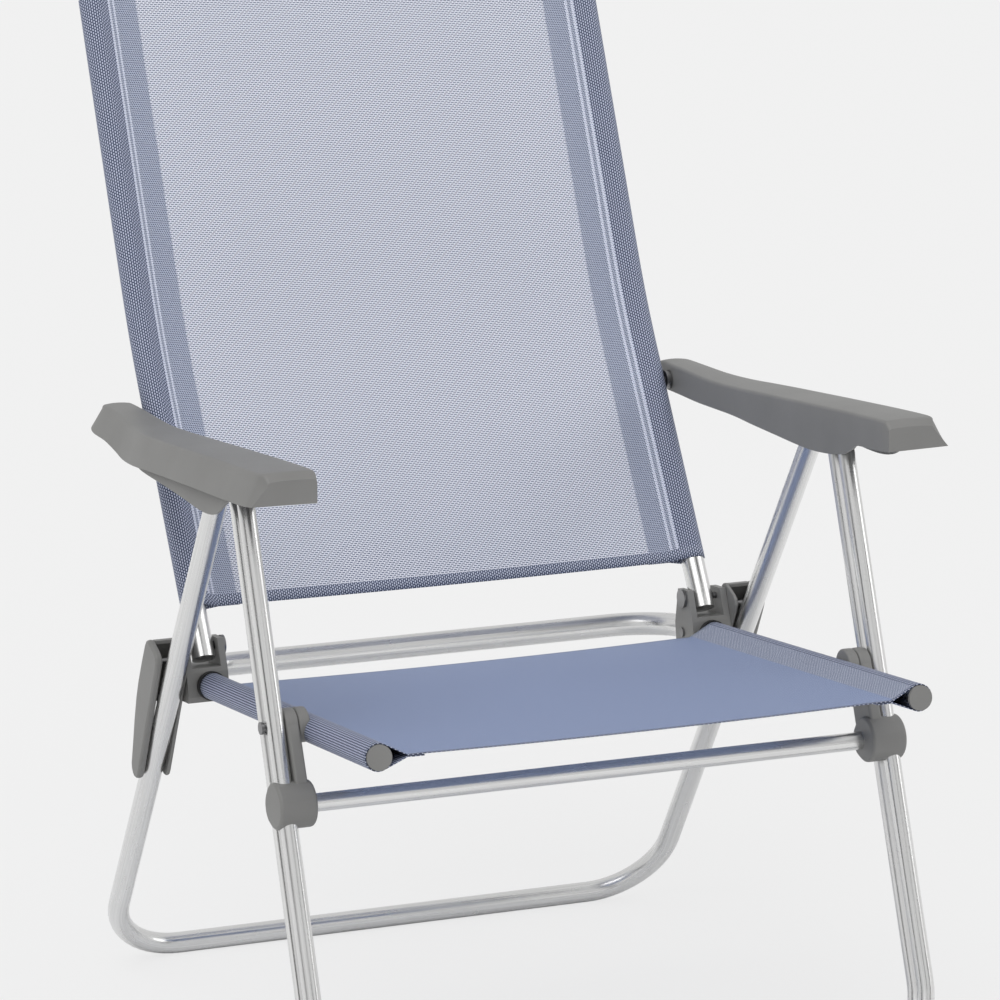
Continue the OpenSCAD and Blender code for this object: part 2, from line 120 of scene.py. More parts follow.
def noise(tree, vector, scale, detail=3.0, rough=0.5):
    return add(tree, "ShaderNodeTexNoise", {"Vector": vector, "Scale": scale, "Detail": detail,
                                            "Roughness": rough}).outputs["Fac"]

def stretch(tree, vector, by):
    return add(tree, "ShaderNodeVectorMath", {0: vector, 1: by}, operation="MULTIPLY").outputs[0]

def material(name, tree, coords, **shader):
    """A material that wires a group's outputs to a Principled shader."""
    mat = bpy.data.materials.new(name)
    mat.use_nodes = True
    nt = mat.node_tree
    bsdf = nt.nodes["Principled BSDF"]
    for k, v in shader.items():
        bsdf.inputs[k.replace("_", " ")].default_value = v
    source = nt.nodes.new("ShaderNodeTexCoord")
    g = nt.nodes.new("ShaderNodeGroup")
    g.node_tree = tree
    nt.links.new(source.outputs[coords], g.inputs["Vector"])
    for out in g.outputs:
        if out.name == "Color":
            nt.links.new(out, bsdf.inputs["Base Color"])
        elif out.name == "Roughness":
            nt.links.new(out, bsdf.inputs["Roughness"])
        elif out.name == "Height":
            bump = add(nt, "ShaderNodeBump", {"Height": out, "Strength": 0.5, "Distance": 0.0003})
            nt.links.new(bump.outputs["Normal"], bsdf.inputs["Normal"])
    return mat

# %% [markdown]
# The tubes are drawn and polished aluminium. Drawing leaves fine lines along
# the tube, so the noise is stretched along the tube's own UV direction.

# %% Aluminium
def aluminium_group():
    t, i, o = group("drawn aluminium", {"Color": "NodeSocketColor", "Roughness": "NodeSocketFloat",
                                        "Height": "NodeSocketFloat"})
    lines = noise(t, stretch(t, i.outputs[0], (900, 6, 1)), 1.0, 4)
    cloud = noise(t, stretch(t, i.outputs[0], (60, 8, 1)), 1.0, 2)
    t.links.new(ramp(t, lines, [(0.3, (0.66, 0.66, 0.655)), (0.7, (0.80, 0.80, 0.795))]), o.inputs["Color"])
    r = add(t, "ShaderNodeMapRange", {"Value": cloud, "From Min": 0.3, "From Max": 0.7,
                                      "To Min": 0.20, "To Max": 0.33})
    t.links.new(r.outputs[0], o.inputs["Roughness"])
    fine = add(t, "ShaderNodeMath", {0: lines, 1: 0.12}, operation="MULTIPLY")
    t.links.new(fine.outputs[0], o.inputs["Height"])
    return t

ALUMINIUM = material("polished aluminium", aluminium_group(), "UV", Metallic=1.0)

# %% [markdown]
# The mouldings are grey plastic with a fine spark-eroded grain, the hidden
# inserts black. The rivets are turned steel.

# %% Plastics and steel
def plastic_group(name, low, high, rough, grain):
    t, i, o = group(name, {"Color": "NodeSocketColor", "Roughness": "NodeSocketFloat",
                           "Height": "NodeSocketFloat"})
    cloud = noise(t, i.outputs[0], 14.0, 3)
    t.links.new(ramp(t, cloud, [(0.3, low), (0.7, high)]), o.inputs["Color"])
    fine = noise(t, i.outputs[0], grain, 2)
    r = add(t, "ShaderNodeMapRange", {"Value": fine, "To Min": rough - 0.06, "To Max": rough + 0.06})
    t.links.new(r.outputs[0], o.inputs["Roughness"])
    weak = add(t, "ShaderNodeMath", {0: fine, 1: 0.22}, operation="MULTIPLY")
    t.links.new(weak.outputs[0], o.inputs["Height"])
    return t

GREY = material("moulded grey plastic", plastic_group("grey grain", (0.178, 0.177, 0.172), (0.200, 0.199, 0.194),
                                                      0.50, 2600), "Object")
BLACK = material("black plastic", plastic_group("black grain", (0.010, 0.010, 0.011), (0.016, 0.016, 0.017),
                                                0.42, 2200), "Object")
STEEL = material("turned steel", plastic_group("steel grain", (0.16, 0.16, 0.165), (0.26, 0.26, 0.265),
                                               0.30, 3000), "Object", Metallic=1.0)

# %% [markdown]
# ## The mesh cloth
# Both panels are woven from coated yarn. White yarns run along the panel and
# dark blue ones cross over them, so a close look shows rows of short dashes.
# A brick pattern gives the dashes; its UV is in metres. In the sleeves the
# cloth lies double and the dark yarns close up.

# %% Cloth
WHITE, NAVY = (0.80, 0.82, 0.91), (0.028, 0.042, 0.095)

def mesh_group(name, light, dark, pitch, row, gap, band, sleeve, hem, stripes=()):
    """Weave of an open panel; beyond band it is double, beyond sleeve it is turned along the tube."""
    t, i, o = group(name, {"Color": "NodeSocketColor", "Height": "NodeSocketFloat"})
    uv = i.outputs[0]
    def maths(op, a, b=0.0):
        return add(t, "ShaderNodeMath", {0: a, 1: b}, operation=op).outputs[0]
    def mix(fac, a, b):
        ins = {"Factor": fac}
        for k, c in ((6, a), (7, b)):
            ins[k] = (*c, 1) if isinstance(c, tuple) else c
        return add(t, "ShaderNodeMix", ins, data_type="RGBA").outputs[2]
    def dashes(vector, width, height, mortar):
        return add(t, "ShaderNodeTexBrick", {"Vector": vector, "Color1": (1, 1, 1, 1), "Color2": (1, 1, 1, 1),
                   "Mortar": (0, 0, 0, 1), "Scale": 1.0, "Mortar Size": mortar, "Mortar Smooth": 0.1,
                   "Brick Width": width, "Row Height": height}, offset=0.5).outputs["Color"]
    wobble = maths("MULTIPLY", maths("SUBTRACT", noise(t, stretch(t, uv, (9, 55, 1)), 1.0, 2), 0.5), 0.0030)
    xyz = add(t, "ShaderNodeSeparateXYZ", {0: uv})
    x, y = xyz.outputs["X"], xyz.outputs["Y"]
    far = maths("ABSOLUTE", x)
    moved = add(t, "ShaderNodeCombineXYZ", {"X": maths("ADD", x, wobble), "Y": y}).outputs[0]
    turned = add(t, "ShaderNodeCombineXYZ", {"X": y, "Y": x}).outputs[0]
    tone = noise(t, stretch(t, uv, (260, 620, 1)), 1.0, 2)
    lit = mix(tone, tuple(c * 0.84 for c in light), light)
    open_mask = dashes(moved, pitch, row, gap)
    cloth = mix(open_mask, lit, dark)
    double = mix(dashes(moved, pitch * 0.5, row, gap * 0.72), mix(tone, (0.34, 0.38, 0.50), (0.56, 0.60, 0.72)), NAVY)
    tube = mix(dashes(turned, 0.0030, 0.0021, 0.00052), NAVY, (0.50, 0.54, 0.68))
    full = mix(maths("GREATER_THAN", far, band), cloth, double)
    full = mix(maths("GREATER_THAN", far, sleeve), full, tube)
    for at, half in stripes:
        on = maths("LESS_THAN", maths("ABSOLUTE", maths("SUBTRACT", far, at)), half)
        full = mix(on, full, mix(dashes(moved, 0.0016, row, 0.0003), WHITE, (0.22, 0.26, 0.40)))
    hem_on = maths("GREATER_THAN", maths("MULTIPLY", y, hem[1]), hem[0] * hem[1])
    full = mix(hem_on, full, mix(dashes(turned, hem[2], 0.0021, 0.0005), NAVY, (0.55, 0.59, 0.72)))
    t.links.new(full, o.inputs["Color"])
    t.links.new(maths("MULTIPLY", open_mask, 0.8), o.inputs["Height"])
    return t

BACK_CLOTH = material("back mesh cloth", mesh_group("back weave", WHITE, (0.050, 0.070, 0.15), 0.0038, 0.0018, 0.00048,
                      0.207, 0.236, (0.048, -1, 0.0030), ((0.2305, 0.0013), (0.2365, 0.0013))), "UV", Roughness=0.66)
SEAT_CLOTH = material("seat mesh cloth", mesh_group("seat weave", (0.34, 0.41, 0.60), (0.085, 0.125, 0.26), 0.0034,
                      0.0017, 0.00040, 0.226, 0.247, (0.1575, 1, 0.0018)), "UV", Roughness=0.62)
def thread_group():
    t, i, o = group("thread", {"Color": "NodeSocketColor"})
    t.links.new(ramp(t, noise(t, i.outputs[0], 300.0), [(0.3, (0.02, 0.03, 0.07)), (0.7, (0.05, 0.07, 0.14))]),
                o.inputs["Color"])
    return t
THREAD = material("sewing thread", thread_group(), "Object", Roughness=0.7)
print("materials", [m.name for m in bpy.data.materials])

# %% [markdown]
# ## Making pieces
# Every piece is built at its place in the row frame, with its origin at the
# frame's origin, and then rides on the body that carries it.

# %% Piece helpers
def new_piece(name, bm, mat, body, replaces=(), smooth=40, bevel=None):
    name = name.replace(" ", "_")
    bmesh.ops.recalc_face_normals(bm, faces=bm.faces)
    me = bpy.data.meshes.new(name)
    bm.to_mesh(me)
    bm.free()
    obj = bpy.data.objects.new(name, me)
    bpy.context.scene.collection.objects.link(obj)
    me.materials.append(mat)
    me.shade_smooth()
    if bevel:
        m = obj.modifiers.new("soft edges", "BEVEL")
        m.width, m.segments, m.limit_method, m.angle_limit = bevel, 3, "ANGLE", radians(28)
        m.harden_normals = True
    else:
        me.set_sharp_from_angle(angle=radians(smooth))
    if replaces:
        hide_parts(*replaces)
    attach(obj, body)
    return obj

def sweep(name, path, section, mat, body, replaces=(), across=Vector((1, 0, 0)), closed_ends=True):
    """A tube: section (a, b) pairs are carried along the path without twisting."""
    bm = bmesh.new()
    uv = bm.loops.layers.uv.new("UVMap")
    rings, lengths, total = [], [], 0.0
    tangent = (path[1] - path[0]).normalized()
    a = (across - tangent * across.dot(tangent)).normalized()
    for k, p in enumerate(path):
        nxt = path[min(k + 1, len(path) - 1)] - path[max(k - 1, 0)]
        new_t = nxt.normalized()
        a = tangent.rotation_difference(new_t) @ a
        a = (a - new_t * a.dot(new_t)).normalized()
        tangent = new_t
        b = tangent.cross(a)
        rings.append([bm.verts.new(p + a * u + b * w) for u, w in section])
        total += (p - path[k - 1]).length if k else 0
        lengths.append(total)
    n = len(section)
    for k in range(len(rings) - 1):
        for j in range(n):
            f = bm.faces.new((rings[k][j], rings[k][(j + 1) % n], rings[k + 1][(j + 1) % n], rings[k + 1][j]))
            for loop, (u, w) in zip(f.loops, ((j, k), (j + 1, k), (j + 1, k + 1), (j, k + 1))):
                loop[uv].uv = (u / n * 0.069, lengths[w])
    if closed_ends:
        bm.faces.new(rings[0])
        bm.faces.new(rings[-1])
    return new_piece(name, bm, mat, body, replaces)

def ring(r, n=40):
    return [(r * cos(2 * pi * k / n), r * sin(2 * pi * k / n)) for k in range(n)]

def arc(centre, u, v, r, a0, a1, n=14):
    """Points round centre in the plane of u and v."""
    return [centre + (u * cos(a) + v * sin(a)) * r
            for a in (a0 + (a1 - a0) * k / n for k in range(n + 1))]

def u_path(base, up, half, bend, arm, step=0.02):
    """A U from the left arm's end, across the base and up to the right arm's end."""
    x = Vector((1, 0, 0))
    left = arc(base - x * (half - bend) + up * bend, -x, -up, bend, 0, pi / 2)
    right = arc(base + x * (half - bend) + up * bend, -up, x, bend, 0, pi / 2)
    down = [base - x * half + up * h for h in (arm, arm * 0.7, arm * 0.4)]
    rise = [base + x * half + up * h for h in (arm * 0.4, arm * 0.7, arm)]
    return down + left + right + rise

# %% [markdown]
# ## The frame tubes
# The front leg tube has two lobes with a groove between them; the others are
# round. Each is one piece of tube, bent at its corners.

# %% Leg tubes
def lobed(d=15.6, gap=19.6, web=5.0, n=18):
    """Outline of the front leg tube, long side in the second direction."""
    r, out = d / 2, []
    a0 = math.asin(web / 2 / r)
    for s in (1, -1):
        for k in range(n + 1):
            a = -pi / 2 * s + a0 + (pi * 2 - 2 * a0) * k / n
            out.append((r * cos(a), r * sin(a) + s * gap / 2))
    return [(x * MM, y * MM) for x, y in out]

front_up = Vector((0, sin(FRONT), cos(FRONT)))
front_base = Vector((0, PIN_S.y - (PIN_S.z - 0.0111) * tan(FRONT), 0.0111))
front_arm = (PIN_T.z - 0.0111 + 0.034 * sin(FRONT)) / cos(FRONT) - 0.014
sweep("front leg tube", u_path(front_base, front_up, LEG_X, 0.080, front_arm), lobed(), ALUMINIUM,
      "front_legs", ["front_leg_frame"], across=Vector((1, 0, 0)))

rear_up = Vector((0, -sin(REAR), cos(REAR)))
rear_base = PIN_T - rear_up * ((PIN_T.z - 0.010) / cos(REAR))
sweep("rear leg tube", u_path(rear_base, rear_up, LEG_X, 0.072, (PIN_T.z - 0.010) / cos(REAR) + 0.007),
      ring(0.010), ALUMINIUM, "rear_legs", ["rear_leg_frame"])
half = LEG_X - 0.0165
sweep("stretcher tube", [along(PIN_S, FRONT, -68, 0, half * (k / 8 * 2 - 1)) for k in range(9)], ring(0.008),
      ALUMINIUM, "front_legs", ["stretcher_bar"], across=Vector((0, 1, 0)))

# %% [markdown]
# The seat tube runs round the rear corners; the back tube leans back, stands
# up a little at the waist and turns across at the top.

# %% Seat and back tubes
seat_step = Vector((0, cos(SLOPE), -sin(SLOPE)))
seat_rise = Vector((0, sin(SLOPE), cos(SLOPE)))
SEAT_O = PIN_S - seat_rise * 0.005
sweep("seat tube", u_path(SEAT_O + seat_step * 0.374, -seat_step, TUBE_X, 0.060, 0.374 + 0.161), ring(0.011),
      ALUMINIUM, "seat", ["seat_frame"])

lower_up = Vector((0, sin(LEAN), cos(LEAN)))
upper_up = Vector((0, sin(LEAN - WAIST), cos(LEAN - WAIST)))
waist = PIN_P + lower_up * 0.307
top_bar = waist + upper_up * 0.390

def back_line(h):
    """The back tube's centre in the side view, h metres above the back pivot."""
    bow = 0.05
    if h < 0.307 - bow:
        return PIN_P + lower_up * h
    if h > 0.307 + bow:
        return waist + upper_up * (h - 0.307)
    t = (h - 0.307 + bow) / (2 * bow)
    a, b, c = waist - lower_up * bow, waist, waist + upper_up * bow
    return a * (1 - t) ** 2 + b * 2 * t * (1 - t) + c * t * t

def back_lean(h):
    d = back_line(h + 0.002) - back_line(h - 0.002)
    return d.normalized()

def back_path():
    x = Vector((1, 0, 0))
    hs = [-0.012, 0.1, 0.2] + [0.257 + 0.0125 * k for k in range(9)] + [0.45, 0.55]
    arm = [back_line(h) for h in hs]
    c = top_bar - upper_up * 0.062
    left = arc(c - x * (TUBE_X - 0.062), -x, upper_up, 0.062, 0, pi / 2)
    right = arc(c + x * (TUBE_X - 0.062), upper_up, x, 0.062, 0, pi / 2)
    return [p - x * TUBE_X for p in arm] + left + right + [p + x * TUBE_X for p in reversed(arm)]

sweep("back tube", back_path(), ring(0.011), ALUMINIUM, "backrest", ["back_frame"])

# %% [markdown]
# ## The panels
# Each panel is one cloth: it wraps round the left tube, crosses to the right
# tube with a slight sag, and wraps round that. The overlap is sewn flat
# beside the tube. A thin solid closes the cloth on both faces.

# %% Cloth panels
def panel(name, centre, normal, lengths, r, thick, apex, flap, level, sag, mat, body, replaces):
    """centre(h) and normal(h) give the tube line and the panel's upper side at h.

    The sleeve is a loop: it leaves the tube on both sides, meets at the apex and is sewn flat as far as the flap.
    """
    bm = bmesh.new()
    uv = bm.loops.layers.uv.new("UVMap")
    rows, width = [], 0.0
    for h in lengths:
        c, nrm = centre(h), normal(h)
        turn = math.atan2(level, apex)
        reach = math.acos(r / math.hypot(apex, level))
        top, low = pi - turn - reach, -(pi + turn - reach)
        loop = [(-flap, level - 2 * thick), (-apex - 0.004, level - 2 * thick), (-apex, level - 1.6 * thick)]
        loop += [(r * cos(a), r * sin(a)) for a in (low + (top - low) * k / 30 for k in range(31))]
        loop += [(-apex, level), (-apex - 0.004, level), (-flap, level)]
        right = [(TUBE_X + x, z) for x, z in loop]
        left = [(-x, z) for x, z in right]
        inner = TUBE_X - flap
        cross = []
        for k in range(1, 30):
            t = k / 30
            cross.append((-inner + 2 * inner * t, level - sag * (1 - (2 * t - 1) ** 2)))
        line = left + cross + right[::-1]
        rows.append([bm.verts.new(Vector((x, 0, 0)) + c + nrm * z) for x, z in line])
        run = [0.0]
        for a, b in zip(line, line[1:]):
            run.append(run[-1] + math.dist(a, b))
        width = run[-1]
        us = [v - width / 2 for v in run]
    for k in range(len(rows) - 1):
        for j in range(len(rows[k]) - 1):
            f = bm.faces.new((rows[k][j], rows[k][j + 1], rows[k + 1][j + 1], rows[k + 1][j]))
            for corner, (a, b) in zip(f.loops, ((j, k), (j + 1, k), (j + 1, k + 1), (j, k + 1))):
                corner[uv].uv = (us[a], lengths[b])
    obj = new_piece(name, bm, mat, body, replaces, smooth=70)
    solid = obj.modifiers.new("cloth", "SOLIDIFY")
    solid.thickness, solid.offset = thick, 0
    print(name, "flat", round(width, 3), "by", round(lengths[-1] - lengths[0], 3))
    return obj, (width, lengths[-1] - lengths[0])

def steps(a, b, n):
    return [a + (b - a) * k / n for k in range(n + 1)]

seat_cloth, flat = panel("seat panel", lambda h: SEAT_O - seat_step * h, lambda h: seat_rise,
                         steps(-0.262, 0.1612, 60), 0.0117, 0.0008, 0.026, 0.041, -0.0005, 0.002, SEAT_CLOTH, "seat",
                         ["seat_fabric"])
back_cloth, flat = panel("back panel", back_line, lambda h: Vector((0, -back_lean(h).z, back_lean(h).y)),
                         steps(0.037, 0.307 + 0.390 - 0.064, 90), 0.0117, 0.0008, 0.024, 0.045, -0.0005, 0.004,
                         BACK_CLOTH, "backrest", ["back_fabric"])

# %% [markdown]
# ## Mouldings
# A plate is an outline in the side view given a thickness across the chair.
# Its edges are rounded, as they would be by the mould.

# %% Plates
def plate(name, outline, x0, x1, mat, body, replaces=(), soft=0.0012, mirror=True):
    made = []
    for s in ((1, -1) if mirror else (1,)):
        bm = bmesh.new()
        base = [bm.verts.new((s * x0, p.y, p.z)) for p in outline]
        f = bm.faces.new(base)
        out = bmesh.ops.extrude_face_region(bm, geom=[f])
        moved = [v for v in out["geom"] if isinstance(v, bmesh.types.BMVert)]
        bmesh.ops.translate(bm, verts=moved, vec=(s * (x1 - x0), 0, 0))
        bmesh.ops.recalc_face_normals(bm, faces=bm.faces)
        end = "right" if s == 1 else "left"
        where = body.replace("?", end)
        made.append(new_piece(f"{name} {end}", bm, mat, where, [r.replace("?", end) for r in replaces], bevel=soft))
    return made

def disc(centre, r, n=40, a0=0.0, a1=2 * pi):
    return [side(centre, r * cos(a), r * sin(a)) for a in (a0 + (a1 - a0) * k / n for k in range(n))]

def hull(points):
    """Outline round a set of side-view points."""
    pts = sorted({(round(p.y, 6), round(p.z, 6)) for p in points})
    def half_hull(seq):
        out = []
        for p in seq:
            while len(out) > 1 and ((out[-1][0] - out[-2][0]) * (p[1] - out[-2][1])
                                    - (out[-1][1] - out[-2][1]) * (p[0] - out[-2][0])) <= 0:
                out.pop()
            out.append(p)
        return out[:-1]
    return [Vector((0, y, z)) for y, z in half_hull(pts) + half_hull(pts[::-1])]

# %% Links beside the rear legs
# Link outline in its own direction: from the rivet M up to the seat bracket
link_top = side(PIN_P, -10.5, -7)
link_dir = (link_top - Vector((0, PIN_M.y, PIN_M.z))).normalized()
link_side = Vector((0, link_dir.z, -link_dir.y))
def on_link(a, b):
    return Vector((0, PIN_M.y, PIN_M.z)) + link_side * a * MM + link_dir * b * MM
shape = [on_link(a, b) for a, b in [(-11, 0), (-10, -5), (-7, -9), (-2, -11), (3, -10.5), (8, -7.5), (10.5, -3), (14, 20),
         (18, 42), (21, 66), (21.3, 84), (19.6, 108), (17.4, 128), (15.5, 134), (11, 137.6), (-8, 137.8), (-14, 136.5),
         (-17.6, 132), (-17.6, 122), (-15, 76), (-13, 38)]]
plate("link outer cheek", shape, LEG_X + 0.0108, LEG_X + 0.0178, GREY, "link_?", ["link_?"], soft=0.0042)
plate("link inner cheek", shape, LEG_X - 0.0142, LEG_X - 0.0108, GREY, "link_?", soft=0.0014)
back_edge = [on_link(a, b) for a, b in [(15, 62), (21.2, 64), (21.3, 84), (19.6, 108), (17.4, 128), (15.5, 134), (9, 137.4),
             (8, 133.5), (11.5, 131), (14, 122), (16.4, 104), (17.8, 84), (17, 68)]]
plate("link spine", back_edge, LEG_X - 0.0112, LEG_X + 0.0112, GREY, "link_?", soft=0.0008)

# %% [markdown]
# The leg bracket is a slim strap beside the front leg, with a boss at the seat
# pivot and a cup at the stretcher.

# %% Leg brackets
STRETCH = along(PIN_S, FRONT, -68, 0)
def round_bar(name, centre, r, x0, x1, mat, body, replaces=(), dome=0.0, soft=0.002):
    """A turned piece on the X axis through centre, one each side; a dome closes its outer end when dome is given, else
    it ends flat.
    """
    for s in (1, -1):
        bm = bmesh.new()
        profile = [(x0, 0.0), (x0, r - soft)] + [(x0 + soft - soft * cos(a), r - soft + soft * sin(a))
                   for a in (pi / 2 * k / 4 for k in range(5))]
        profile += [(x1 - soft * 1 + soft * sin(a), r - soft + soft * cos(a)) for a in (pi / 2 * k / 4 for k in range(5))]
        profile += [(x1 + dome * (1 - (1 - t) ** 2), (r - soft) * (1 - t)) for t in (0.25, 0.5, 0.75, 1.0)] if dome else [(x1, 0.0)]
        vs = [bm.verts.new((s * x, centre.y, centre.z + q)) for x, q in profile]
        edges = [bm.edges.new((vs[k], vs[k + 1])) for k in range(len(vs) - 1)]
        bmesh.ops.spin(bm, geom=vs + edges, cent=(0, centre.y, centre.z), axis=(1, 0, 0), angle=2 * pi,
                       steps=48, use_merge=True)
        bmesh.ops.remove_doubles(bm, verts=bm.verts, dist=1e-6)
        end = "right" if s == 1 else "left"
        new_piece(f"{name} {end}", bm, mat, body.replace("?", end), [q.replace("?", end) for q in replaces])

def on_leg(u, w):
    """u along the front leg up from the seat pivot, w in front of it."""
    return along(PIN_S, FRONT, u, w)
strap = hull([on_leg(14.6 * sin(a), 0.6 + 14.6 * cos(a)) for a in (2 * pi * k / 40 for k in range(40))]
             + [on_leg(u, w) for u, w in [(-20, 18), (-58, 19.4), (-58, -14.6), (-30, -14.8)]])
plate("leg strap", strap, LEG_X - 0.0195, LEG_X - 0.0079, GREY, "front_legs", ["leg_bracket_?"], soft=0.0026)
CUP = on_leg(-68, 6.5)
cup_outline = hull([CUP + Vector((0, cos(a), sin(a))) * 0.0205 for a in (2 * pi * k / 48 for k in range(48))]
                   + [STRETCH + Vector((0, cos(a), sin(a))) * 0.0165 for a in (2 * pi * k / 48 for k in range(48))])
plate("stretcher cup", cup_outline, LEG_X - 0.0235, LEG_X + 0.0105, GREY, "front_legs", soft=0.0030)
round_bar("seat boss", PIN_S, 0.0155, TUBE_X + 0.006, LEG_X - 0.0198, GREY, "seat", ["seat_boss_?"])
round_bar("seat pivot cap", PIN_S, 0.0155, LEG_X - 0.0194, LEG_X - 0.0079, GREY, "front_legs")

# %% [markdown]
# ## The armrests
# An armrest is a thin shell, open below, so that the legs fold up into it. It
# is lofted through stations from the back pivot to the tip. A skirt hangs
# below it round the tops of the legs.

# %% Armrests
# depth, inner wall, outer wall at the top and at the rim, top, inner and outer rim, in millimetres
ARM = [(30.0, -14.0, 4.0, 12.0, 8.0, -4.0, -2.0),
       (28.0, -16.6, 8.0, 18.0, 12.4, -7.0, -5.0),
       (22.0, -17.8, 10.4, 21.6, 14.4, -9.4, -7.6),
       (8.0, -18.0, 11.6, 23.0, 15.2, -10.6, -9.4),
       (-26.0, -18.0, 12.4, 23.6, 15.8, -10.6, -9.6),
       (-66.0, -18.2, 16.0, 26.4, 15.6, -10.6, -11.6),
       (-104.0, -18.4, 22.0, 32.0, 16.4, -9.4, -11.0),
       (-148.0, -18.8, 27.0, 36.8, 19.6, -8.0, -7.4),
       (-190.0, -19.2, 28.6, 38.6, 23.4, -8.4, -3.0),
       (-240.0, -19.6, 29.0, 39.2, 28.0, -8.4, 1.6),
       (-285.0, -20.0, 29.2, 39.6, 32.2, -8.4, 5.4),
       (-325.0, -20.4, 29.4, 40.0, 35.8, -7.0, 8.8),
       (-372.0, -20.8, 29.6, 40.6, 40.0, -1.0, 12.6),
       (-398.0, -21.0, 29.8, 41.0, 42.2, 8.0, 14.8),
       (-410.0, -21.2, 29.8, 41.2, 43.2, 14.4, 15.8),
       (-440.0, -21.4, 29.6, 41.2, 45.6, 17.2, 18.2),
       (-458.0, -21.4, 28.6, 40.8, 46.8, 18.8, 19.8),
       (-465.0, -20.8, 26.0, 39.6, 46.2, 19.6, 20.6),
       (-471.0, -20.0, 24.0, 38.4, 41.0, 20.2, 21.4)]
SKIRT = [(-150.0, -14.0, 25.0, 33.0, 16.0, -4.0, -8.4), (-176.0, -14.6, 27.0, 35.0, 19.0, -4.4, -8.6),
         (-240.0, -15.4, 27.4, 35.4, 24.0, -4.4, -8.6), (-292.0, -16.0, 27.6, 35.8, 28.0, -5.0, -9.2),
         (-322.0, -16.2, 27.8, 36.0, 30.6, -5.0, -10.0), (-350.0, -16.4, 27.8, 36.2, 33.0, -4.0, -9.0),
         (-372.0, -16.6, 28.0, 36.4, 35.0, 0.0, -5.0), (-390.0, -16.8, 28.0, 36.6, 36.4, 8.0, 4.0),
         (-404.0, -16.8, 28.0, 36.6, 37.6, 15.0, 12.0), (-418.0, -16.8, 28.0, 36.6, 38.6, 18.0, 17.0)]

def smooth_stations(rows, per=6):
    """Catmull-Rom curve through the stations."""
    out = []
    for k in range(len(rows) - 1):
        p = [rows[max(k - 1, 0)], rows[k], rows[k + 1], rows[min(k + 2, len(rows) - 1)]]
        for j in range(per):
            t = j / per
            out.append(tuple(0.5 * (2 * b + (c - a) * t + (2 * a - 5 * b + 4 * c - d) * t * t
                                    + (3 * b - a - 3 * c + d) * t ** 3) for a, b, c, d in zip(*p)))
    return out + [rows[-1]]

def arch(x0, x1, rim, top, low0, low1, r, crown):
    """Inner rim, over the top, to the outer rim; the outer wall slopes out to its rim."""
    pts = [(x0, low0), (x0, (low0 + top - r) / 2)]
    pts += [(x0 + r - r * cos(a), top - r + r * sin(a)) for a in (pi / 2 * k / 5 for k in range(6))]
    for k in range(1, 6):
        t = k / 6
        pts.append((x0 + r + (x1 - x0 - 2 * r) * t, top + crown * (1 - (2 * t - 1) ** 2)))
    pts += [(x1 - r + r * sin(a), top - r + r * cos(a)) for a in (pi / 2 * k / 5 for k in range(6))]
    return pts + [(x1 + (rim - x1) * t, (top - r) * (1 - t) + low1 * t) for t in (0.33, 0.66, 1.0)]

def arm_shell(name, stations, wall, r, crown, mat, body, replaces=()):
    for s in (1, -1):
        bm = bmesh.new()
        rows = smooth_stations(stations)
        def loft(rows_in, inset):
            grid = []
            for y, x0, x1, rim, top, l0, l1 in rows_in:
                line = arch(x0 + inset, x1 - inset, rim - inset, top - inset, l0, l1, max(r - inset, 0.8), crown)
                grid.append([bm.verts.new((s * (LEG_X + x * MM), PIN_C.y + y * MM, PIN_C.z + z * MM)) for x, z in line])
            for k in range(len(grid) - 1):
                for j in range(len(grid[k]) - 1):
                    bm.faces.new((grid[k][j], grid[k][j + 1], grid[k + 1][j + 1], grid[k + 1][j]))
            bm.faces.new(grid[0])
            bm.faces.new(grid[-1])
            return grid
        outer = loft(rows, 0.0)
        y0, y1 = rows[0][0], rows[-1][0]
        inner = loft([q for q in rows if y1 + wall < q[0] < y0 - wall], wall)
        def rim_edges(grid):
            loop = [g[0] for g in grid] + [g[-1] for g in reversed(grid)]
            return [e for k, v in enumerate(loop) for e in v.link_edges
                    if e.other_vert(v) is loop[(k + 1) % len(loop)]]
        bmesh.ops.bridge_loops(bm, edges=rim_edges(outer) + rim_edges(inner))
        end = "right" if s == 1 else "left"
        new_piece(f"{name} {end}", bm, mat, body.replace("?", end), [q.replace("?", end) for q in replaces], smooth=32)

arm_shell("armrest cap", ARM, 2.6, 3.4, 0.8, GREY, "armrest_?", ["armrest_?"])
arm_shell("armrest skirt", SKIRT, 2.2, 2.6, 0.0, GREY, "armrest_?")

# %% [markdown]
# ## Small fittings
# The pins, rivets, bushes and brackets that the engineering model already has
# in full keep their own meshes; they only need a finish.

# %% Finish on the engineering pieces
PLASTIC_NODES = ["leg_knuckle_left", "leg_knuckle_right", "seat_end_caps", "hinge_bracket_left", "hinge_bracket_right"]
BLACK_NODES = ["rear_leg_bushes", "bracket_collars", "back_pivot_bushes", "armrest_rack_left",
               "armrest_rack_right"]
for name, obj in nodes.items():
    obj.data.materials.clear()
    obj.data.materials.append(GREY if name in PLASTIC_NODES else BLACK if name in BLACK_NODES else STEEL)

# %% [markdown]
# ## Floor and light
# A pale seamless floor under an even sky with two wide suns, so that the
# shadows stay faint. Dark boards stand where only reflections can see them.

# %% Stage
def wash(name, value):
    t, i, o = group(name, {"Color": "NodeSocketColor"})
    t.links.new(ramp(t, noise(t, i.outputs[0], 0.4), [(0.2, (value * 0.995,) * 3), (0.8, (value,) * 3)]), o.inputs["Color"])
    return t

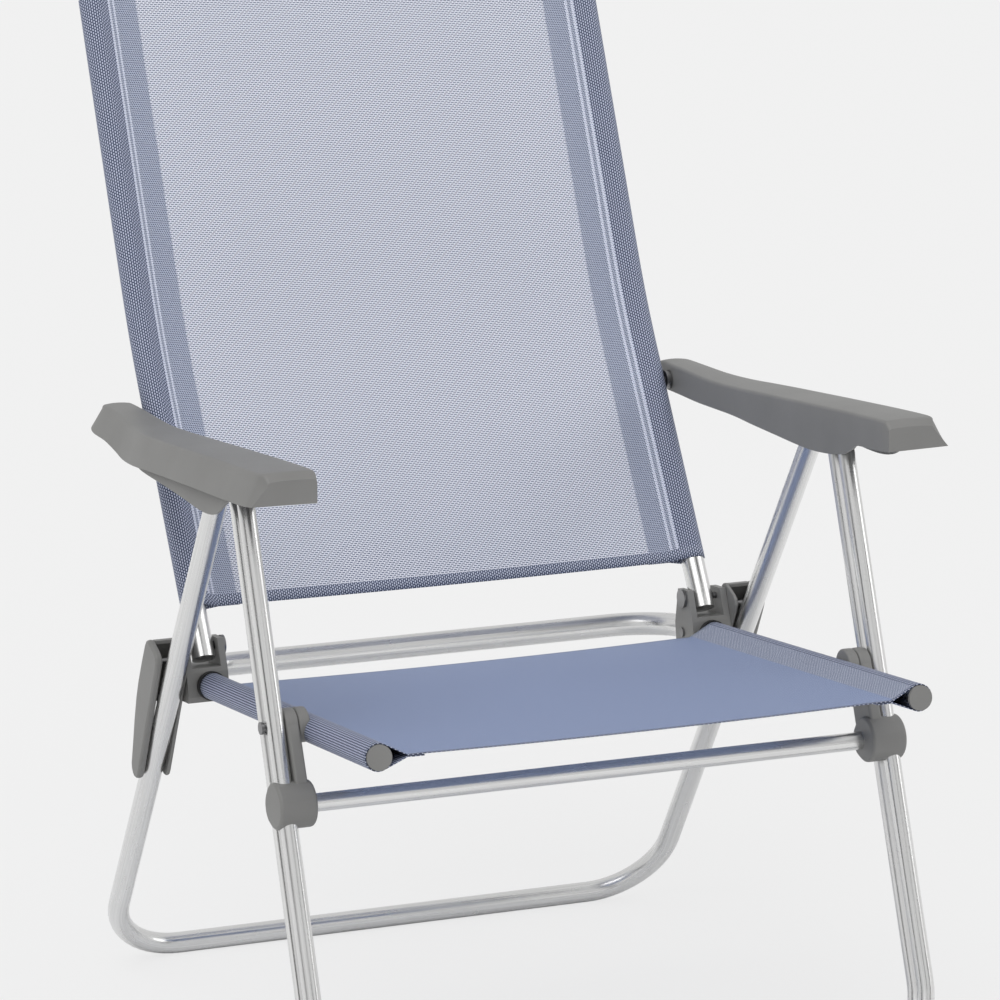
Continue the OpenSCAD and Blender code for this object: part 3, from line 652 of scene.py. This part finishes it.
bpy.ops.mesh.primitive_plane_add(size=60, location=(0, 0, 0))
floor = bpy.context.object
floor.name = "floor"
floor.data.materials.append(material("pale floor", wash("floor wash", 0.86), "Object", Roughness=1.0))
floor_tree = floor.active_material.node_tree
pale = add(floor_tree, "ShaderNodeEmission", {"Color": (0.868, 0.868, 0.868, 1)})
seen = add(floor_tree, "ShaderNodeMath", {0: add(floor_tree, "ShaderNodeLightPath").outputs["Is Camera Ray"],
                                          1: 0.86}, operation="MULTIPLY")
blend = add(floor_tree, "ShaderNodeMixShader", {0: seen.outputs[0], 1: floor_tree.nodes["Principled BSDF"].outputs[0],
                                                2: pale.outputs[0]})
floor_tree.links.new(blend.outputs[0], floor_tree.nodes["Material Output"].inputs["Surface"])

world = bpy.data.worlds.new("studio")
bpy.context.scene.world = world
world.use_nodes = True
background = world.node_tree.nodes["Background"]
background.inputs["Color"].default_value = (0.80, 0.80, 0.80, 1)
background.inputs["Strength"].default_value = 0.95

def sun(name, direction, power, angle):
    data = bpy.data.lights.new(name, "SUN")
    data.energy, data.angle = power, radians(angle)
    obj = bpy.data.objects.new(name, data)
    bpy.context.scene.collection.objects.link(obj)
    obj.rotation_euler = Vector(direction).to_track_quat("-Z", "Y").to_euler()

sun("key light", (0.45, 0.35, -1.0), 1.0, 45)
sun("side light", (-0.9, 0.5, -0.55), 0.35, 30)

def card(name, at, size, shade, target=(0, 0, 0.45)):
    """A board that only the polished tubes can see, to give them their bands."""
    bpy.ops.mesh.primitive_plane_add(size=1, location=at)
    obj = bpy.context.object
    obj.name = name
    obj.scale = (size[0], size[1], 1)
    obj.rotation_euler = (Vector(target) - Vector(at)).to_track_quat("-Z", "Y").to_euler()
    mat = bpy.data.materials.new(name)
    mat.use_nodes = True
    nt = mat.node_tree
    nt.nodes.remove(nt.nodes["Principled BSDF"])
    glow = add(nt, "ShaderNodeEmission", {"Color": (shade, shade, shade, 1)})
    nt.links.new(glow.outputs[0], nt.nodes["Material Output"].inputs["Surface"])
    obj.data.materials.append(mat)
    obj.visible_camera = obj.visible_diffuse = obj.visible_shadow = False

card("dark board left", (-2.6, -0.6, 0.9), (0.7, 2.6), 0.06)
card("dark board right", (1.9, -2.2, 0.9), (0.6, 2.6), 0.08)
card("dark board front", (-0.5, -4.6, 1.0), (0.7, 2.6), 0.12)
bpy.context.scene.view_settings.view_transform = "Standard"
